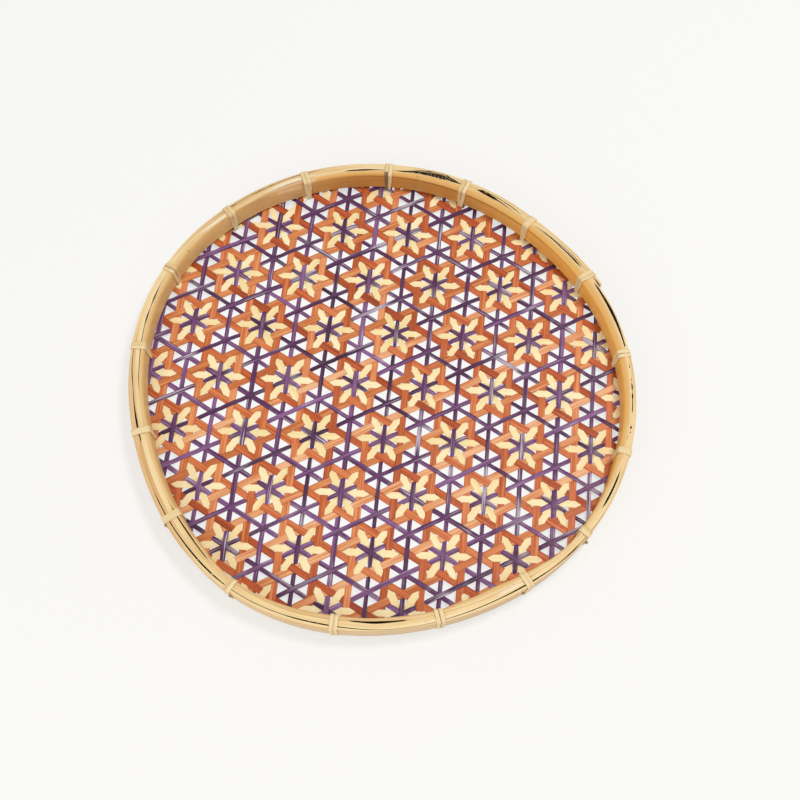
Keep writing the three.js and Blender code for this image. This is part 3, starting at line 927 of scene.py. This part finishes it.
# How much gold the inner part of the inner hoop's top edge takes, at a few angles
gilt_share = line_round_rim(
    (0, 0.9), (48, 1), (106, 1), (112, 0.9), (150, 0.75), (215, 0.7), (240, 0.6), (250, 0.4), (262, 0.25),
    (285, 0.5), (297, 0.4), (310, 0.15), (330, 0.2), (342, 0.6), (352, 0.85))
# Painted highlights on top of the turns: angle and reach
PAINTED_HIGHLIGHTS = {"middle_turn": ((39, 5),), "last_turn": ((112, 8), (133, 6), (300, 4.5))}


def middle_groove(degrees):
    return inner_groove(degrees) - np.maximum(inner_gap(degrees), 0) / 2 - last_turn_width(degrees)


def seam_lap(degrees):
    """How far the two inner turns of the outer hoop are pressed into each other."""
    return 0.35 * smoothstep(last_turn_width(degrees), 0.3, 1.2)


class BendInnerHoop(bpy.types.Operator):
    """Bend the wide inner hoop, its ends meeting in a slanted cut under a tie"""

    bl_idname = "bamboo_tray.inner_hoop"
    bl_label = "Inner Hoop"

    def execute(self, context):
        colours = context.scene.tray_colours

        def shaved_top(degrees, inward):
            shaved = 1 - smoothstep(degrees, *SHAVED_ANGLES)
            return INNER_HOOP_TOP - SHAVED_DEPTH * shaved * smoothstep(inward, 0.15, 1.0)

        hoop = strand(
            "inner_hoop_bent", INNER_HOOP_ANGLES, (inner_groove, inside_line), (inner_gap, None),
            (INNER_HOOP_BOTTOM, shaved_top), (0.18, 0.5, 2.2), 1)
        degrees, depth, _ = measured(hoop)
        outer = inner_groove(degrees)
        share = (depth - outer) / (inside_line(degrees) - outer)
        tint(hoop, "Gilt", gilt_share(degrees) * smoothstep(share, 0.05, 0.55))
        # Where each face colour lies: gold on the right, pink past the cut, and brown on the far stretch,
        # partly painted shade where that wall faces away from the light.
        tint(hoop, "Right", bump(degrees, 5, 100))
        tint(hoop, "Far", bump(degrees, 85, 38) * (degrees < INNER_HOOP_CUT))
        tint(hoop, "Pink", 0.5 * bump(degrees, 117, 15) * (degrees > INNER_HOOP_CUT))
        # Where the painted crease shade runs.
        tint(hoop, "Crease", bump(degrees, 66, 40))
        # Face colours, light and deep: tan, gold, brown and pink, more saturated than the top as painted
        # light lifting the wall's shade; the brown is partly painted shade.
        walls = (
            ("#f5d08f", "#d9ab69"), ("#ffc769", "#f0a84a"), ("#dfa155", "#c3853f"), ("#d6a270", "#b68250"))
        hoop.data.materials.append(
            hoop_finish("bamboo_gold", *colours.shades("inner_hoop"), "#5e3a1e", wall=walls))
        hoop.data.materials.append(
            hoop_finish("bamboo_shaved", *colours.shades("shaved_end"), "#7a4c30", 0.7))
        for face in hoop.data.polygons:
            angle = math.degrees(math.atan2(face.center.y, face.center.x))
            steep = 0.22 + 0.55 * float(smoothstep(angle, *SHAVED_ANGLES))
            if 107 < angle < 126.5 and face.normal.z > steep:
                face.material_index = 1
        finish_piece(hoop, ["inner_hoop"])
        return {"FINISHED"}


class BendOuterHoop(bpy.types.Operator):
    """Wind the long narrow outer hoop around the rim, its first end springing out past a tie"""

    bl_idname = "bamboo_tray.outer_hoop"
    bl_label = "Outer Hoop"

    def execute(self, context):
        rounding = context.scene.tray_rim.rounding / MM
        top = OUTER_HOOP_TOP + 0.2

        def unpaired(degrees):
            return 1 - smoothstep(last_turn_width(degrees), 0.2, 0.6)

        outermost = strand(
            "outermost_turn", (OUTER_HOOP_START, 331),
            (outside_line, lambda d: np.maximum(outer_groove(d), outside_line(d) + 0.15)), (None, outer_gap),
            (HOOP_BOTTOM, OUTER_HOOP_TOP), (rounding, 0.18, 0.18), 2)
        middle = strand(
            "middle_turn", (7, 367), (outer_groove, lambda d: middle_groove(d) + seam_lap(d)),
            (outer_gap, lambda d: inner_gap(d) * unpaired(d)), (HOOP_BOTTOM, top), (0.18, 0.18, 0.18), 3)
        last = strand(
            "last_turn", (68, 311),
            (lambda d: middle_groove(d) - seam_lap(d),
             lambda d: np.maximum(inner_groove(d), middle_groove(d) + 0.2)),
            (None, inner_gap), (HOOP_BOTTOM, top + 0.05), (0.18, 0.18, 0.18), 4)
        for turn in (outermost, middle, last):
            self.tan_outer_face(turn)
        hoop = joined([outermost, middle, last], "outer_hoop_wound")
        shades = context.scene.tray_colours.shades("outer_hoop")
        hoop.data.materials.append(hoop_finish("bamboo_pale", *shades, "#6b4526"))
        finish_piece(hoop, ["outer_hoop"])
        return {"FINISHED"}

    def tan_outer_face(self, turn):
        """Darkens the outer face on the near side as painted shade, where it turns from the light, and two
        stretches of the outer turns on the far left in their own tone.
        """
        degrees, depth, z = measured(turn)
        near = 1 - smoothstep(depth - lean_at(z) - outside_line(degrees), 0.0, 0.7)
        left = np.maximum(bump(degrees, 117, 27), bump(degrees, 198, 38))
        outer = turn.name != "last_turn"
        tint(turn, "Skin", np.maximum(0.42 * near * bump(degrees, 270, 80), 0.5 * left * outer))


class TieRim(bpy.types.Operator):
    """Bind the rim with seventeen double wraps of rattan"""

    bl_idname = "bamboo_tray.ties"
    bl_label = "Ties"

    def execute(self, context):
        props = context.scene.tray_rim
        chance = random.Random(5)
        finish = hoop_finish("rattan", *context.scene.tray_colours.shades("ties"), "#8a6238", 0.5)
        stock = straight_stock("wrap_stock", 0.08, props.wrap_width, props.wrap_thickness, (0.3, 0.3, 0.3), 9)
        lay_grain(stock, 0, lambda spots: spots[:, 1] + spots[:, 2])
        for index, degrees in enumerate(TIE_ANGLES):
            wraps = []
            for side in (-1, 1):
                wrap = copy_of(stock)
                lay_number(wrap, 2 * index + (side > 0))
                stained = index == STAINED_TIE and side > 0
                self.wrap(wrap, degrees + chance.uniform(-0.12, 0.12), side, props, stained)
                wraps.append(wrap)
            if index in TIE_TIPS:
                wraps.append(self.tip(*TIE_TIPS[index]))
            tie = joined(wraps, f"tie_{index + 1:02d}_wrapped")
            tie.data.materials.append(finish)
            finish_piece(tie, [f"tie_{index + 1:02d}"])
        bpy.data.objects.remove(stock)
        return {"FINISHED"}

    def tip(self, degrees, out):
        """The cut end of a wrap, standing out a little at the top of the rim's outer face, painted dark as
        shade.
        """
        end = block(2.0 * MM, 2.3 * MM, 1.2 * MM)
        bpy.ops.mesh.bevel(offset=0.3 * MM, segments=2, affect="EDGES")
        bpy.ops.object.mode_set(mode="OBJECT")
        lay_grain(end, 40, lambda spots: spots[:, 1])
        _, outward, along = rim_frame(degrees)
        middle = rim_place(degrees, outside_line(degrees) - out, 20.6)
        set_down(end, middle, [*outward, 0.3], [*along, 0])
        # Dark: painted shade.
        tint(end, "ShadeAndStain", np.full(len(end.data.vertices), 0.75))
        face_out(end)
        return end

    def wrap(self, piece, degrees, side, props, stained):
        """Leads one wrap round the rim's section at an angle, from under the mat and back."""
        outside = float(outside_line(degrees)) - 0.15
        inside = float(inside_line(degrees)) + 0.15
        thickness = props.wrap_thickness / MM
        path = np.array([
            (outside + 1.2, thickness), (inside - 0.6, thickness), (inside + 0.2, 2.2), (inside, 5.5),
            (inside, 20.7), (inside - 0.4, 21.8), (inside - 1.3, 22.25), (inside - 2.6, 22.25),
            (outside + 1.2, 21.35), (outside + 0.3, 21.0), (outside, 20.2), (outside, 2.2),
            (outside + 0.3, thickness + 0.3), (outside + 1.2, thickness)])
        steps = np.concatenate([[0], np.cumsum(np.hypot(*np.diff(path, axis=0).T))])
        spots = places(piece)
        part = (spots[:, 0] - spots[:, 0].min()) / np.ptp(spots[:, 0])
        run = part * steps[-1]
        depth = np.interp(run, steps, path[:, 0])
        z = np.interp(run, steps, path[:, 1])
        near, far = np.maximum(run - 0.6, 0), np.minimum(run + 0.6, steps[-1])
        ahead = np.stack([np.interp(far, steps, line) - np.interp(near, steps, line) for line in path.T], -1)
        ahead /= np.linalg.norm(ahead, axis=1, keepdims=True)
        out = np.stack([ahead[:, 1], -ahead[:, 0]], -1)
        raised = spots[:, 2] / MM + thickness / 2
        depth = depth + out[:, 0] * raised
        z = z + out[:, 1] * raised
        foot = (depth > inside - 1.5) * (1 - smoothstep(z, 3.5, 15.0))
        across = spots[:, 1] / MM + side * WRAP_SPACING * (1 - 0.7 * foot)
        point, outward, along = rim_frame(degrees)
        flat = point - outward * (depth + lean_at(z))[:, None] + along * across[:, None]
        put(piece, (np.concatenate([flat, z[:, None]], -1) + TRAY_SHIFT) * MM)
        # This tie's dark stain is real; it shares the painted-shade mark.
        if stained:
            tint(piece, "ShadeAndStain", (depth > inside - 2.6) * 0.8)
        face_out(piece)


class TurnUpStripEnds(bpy.types.Operator):
    """Stand the turned-up strip ends in the gap between the hoops"""

    bl_idname = "bamboo_tray.strip_ends"
    bl_label = "Strip Ends"

    def execute(self, context):
        stock = straight_stock("strip_ends_turned_up", 1.24, 0.7 * MM, 13.5 * MM, (0.1, 0.1, 0.1), 20)
        lay_grain(stock, 3, lambda spots: spots[:, 1] + spots[:, 2])
        bend_round_rim(
            stock, 0.0, 359.8, lambda d: inner_groove(d) - 0.1, lambda d: inner_groove(d) + 0.1,
            INNER_HOOP_BOTTOM, 15.0)
        stock = joined([stock, *self.standing_ends()], "strip_ends_turned_up")
        # Near black as painted shade in the gap between the hoops; the standing ends mix to their pale
        # colour.
        shades = context.scene.tray_colours.shades("strip_ends")
        stock.data.materials.append(hoop_finish("cut_ends", *shades, "#140b06", 0.8))
        finish_piece(stock, ["mat_edge"])
        return {"FINISHED"}

    def standing_ends(self):
        """Ragged ends of strips that show where the hoops gape, and a few slivers across the grooves."""
        chance = random.Random(8)
        ends = []
        for degrees in np.arange(71.6, 85.5, 0.8):
            depth = inner_groove(degrees) + inner_gap(degrees) * chance.uniform(-0.3, 0.15)
            ends.append(self.end(
                degrees + chance.uniform(-0.3, 0.3), depth, width=chance.uniform(0.5, 1.3),
                top=chance.uniform(19.6, 21.2), slant=chance.uniform(-0.9, 0.9)))
        for degrees, width in SLIVERS_INSIDE:
            ends.append(self.end(degrees, inner_groove(degrees), width, 20.7, 0.3))
        for degrees, width in SLIVERS_OUTSIDE:
            ends.append(self.end(degrees, outer_groove(degrees), width, 20.6, 0.2))
        return ends

    def end(self, degrees, depth, width, top, slant):
        """One pale standing end, its top cut off at a slant."""
        end = block(width * MM, 0.45 * MM, STRIP_END_HEIGHT * MM)
        pick(end, lambda spot, _: spot.z > 0 and spot.x > 0)
        bpy.ops.transform.translate(value=(0, 0, slant * MM))
        bpy.ops.object.mode_set(mode="OBJECT")
        lay_grain(end, 50, lambda spots: spots[:, 1])
        _, outward, along = rim_frame(degrees)
        tip = rim_place(degrees, depth, top)
        set_down(end, tip - [0, 0, STRIP_END_HEIGHT / 2 * MM], [*along, 0], [*outward, 0])
        tint(end, "HighlightAndPale", np.full(len(end.data.vertices), 0.8))
        return end


# Stage


class SetStage(bpy.types.Operator):
    """Lay the pale floor, hang the lights and place the camera"""

    bl_idname = "bamboo_tray.stage"
    bl_label = "Stage"

    def execute(self, context):
        props = context.scene.tray_stage
        deselect()
        bpy.ops.mesh.primitive_plane_add(size=6)
        floor = bpy.context.object
        floor.name = "floor"
        floor.data.materials.append(self.floor_finish())

        self.hang_light((0.95, 0.42, 2.3), "DISK", 0.7, 25, (1, 0.985, 0.96))
        self.hang_light((-0.9, -1.2, 0.9), "SQUARE", 1.2, 8.5, (1, 0.97, 0.93))

        world = bpy.data.worlds.new("soft_room") if not bpy.data.worlds else bpy.data.worlds[0]
        context.scene.world = world
        world.use_nodes = True
        background = world.node_tree.nodes["Background"]
        background.inputs["Color"].default_value = (1, 1, 1, 1)
        background.inputs["Strength"].default_value = 0.54

        bpy.ops.object.camera_add()
        camera = bpy.context.object
        camera.name = "camera"
        target = Vector(props.target)
        back = Vector((0, -math.cos(props.elevation), math.sin(props.elevation)))
        camera.location = target + back * props.distance
        camera.rotation_euler = (math.pi / 2 - props.elevation, 0, 0)
        camera.data.lens = props.lens
        camera.data.sensor_width = 36
        context.scene.camera = camera
        context.scene.view_settings.view_transform = "Standard"
        return {"FINISHED"}

    def hang_light(self, place, shape, size, energy, colour):
        """An area light that looks at the middle of the tray."""
        bpy.ops.object.light_add(type="AREA", location=place)
        light = bpy.context.object
        light.data.shape = shape
        light.data.size = size
        light.data.energy = energy
        light.data.color = colour
        light.rotation_euler = Vector(place).to_track_quat("Z", "Y").to_euler()

    def floor_finish(self):
        """White paper: seen directly it is a little brighter than it is lit, and it keeps the shadow. Under
        the tray
        it glows brighter still: painted light that lifts the weave's shadow in the holes.
        """
        finish = Finish("floor_white", 0.9, 0.1)
        finish.shader.inputs["Base Color"].default_value = (0.88, 0.87, 0.86, 1)
        rays = finish.node("LightPath").outputs
        seen = finish.math("MAXIMUM", rays["Is Camera Ray"], rays["Is Glossy Ray"])
        seen = finish.math("MAXIMUM", seen, rays["Is Transmission Ray"])
        glow = finish.node("Emission")
        glow.inputs["Color"].default_value = (0.985, 0.985, 0.97, 1)
        blend = finish.node("MixShader")
        away = finish.node("VectorMath", operation="LENGTH")
        finish.link(finish.node("TexCoord").outputs["Object"], away.inputs[0])
        # Brighter still under the tray: painted light lifting the weave's shadow in its holes.
        under = finish.ramp(away.outputs["Value"], [(0.15, 0.92), (0.19, 0.62)])
        finish.link(finish.math("MULTIPLY", seen, under), blend.inputs[0])
        finish.link(finish.shader.outputs[0], blend.inputs[1])
        finish.link(glow.outputs[0], blend.inputs[2])
        finish.link(blend.outputs[0], finish.tree.nodes["Material Output"].inputs["Surface"])
        return finish.material


class TrayPanel(bpy.types.Panel):
    """Buttons for each piece of the tray"""

    bl_idname = "VIEW3D_PT_bamboo_tray"
    bl_label = "Bamboo Tray"
    bl_space_type = "VIEW_3D"
    bl_region_type = "UI"
    bl_category = "Bamboo Tray"

    def draw(self, context):
        for group in GROUPS:
            props = getattr(context.scene, group)
            for key in props.__annotations__:
                self.layout.prop(props, key)
        for operator in OPERATORS:
            self.layout.operator(operator.bl_idname)


OPERATORS = (
    WeaveOrangeStrips, WeavePurpleStrips, WeaveYellowStrips, BendInnerHoop, BendOuterHoop, TurnUpStripEnds,
    TieRim, SetStage)
GROUPS = {
    "tray_weave": WeaveProperties, "tray_rim": RimProperties, "tray_colours": ColourProperties,
    "tray_stage": StageProperties}


def register():
    for name, group in GROUPS.items():
        bpy.utils.register_class(group)
        setattr(bpy.types.Scene, name, bpy.props.PointerProperty(type=group))
    for kind in (*OPERATORS, TrayPanel):
        bpy.utils.register_class(kind)


def unregister():
    for kind in reversed((*OPERATORS, TrayPanel)):
        bpy.utils.unregister_class(kind)
    for name, group in GROUPS.items():
        delattr(bpy.types.Scene, name)
        bpy.utils.unregister_class(group)


def main():
    register()
    for operator in OPERATORS:
        area, name = operator.bl_idname.split(".")
        getattr(getattr(bpy.ops, area), name)()


if __name__ == "__main__":
    main()
